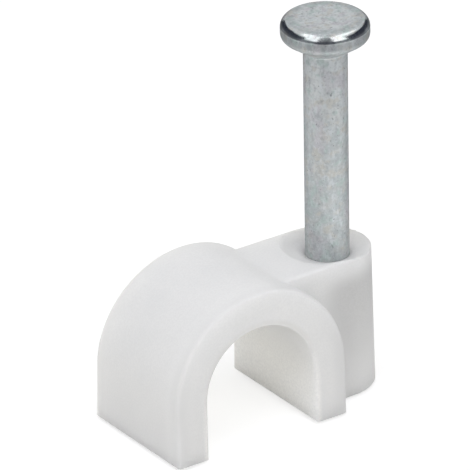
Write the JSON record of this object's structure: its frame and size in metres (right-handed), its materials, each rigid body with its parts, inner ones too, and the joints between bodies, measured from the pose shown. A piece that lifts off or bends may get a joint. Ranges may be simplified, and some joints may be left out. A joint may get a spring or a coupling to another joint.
{
  "type": "nail-in cable clip",
  "caption": "Moulded plastic saddle that holds a round cable against a wall, with a drafted boss on one side carrying a pre-loaded steel nail.",
  "frame": {"origin": "on the wall plane, under the middle of the clip's overall box", "axes": "+Z away from the wall, along the nail towards its head; +Y along the cable; +X across the cable towards the nail boss"},
  "size_m": [0.0126, 0.0066, 0.018],
  "materials": {
    "natural_polyethylene": "slightly translucent off-white moulding with a fine matte grain",
    "zinc_plated_steel": "dull zinc plating with faint iridescent tints, small pits and a brighter rolled rim on the head"
  },
  "bodies": {
    "root": {"clip_body": "natural_polyethylene", "nail": "zinc_plated_steel"}
  },
  "joints": []
}
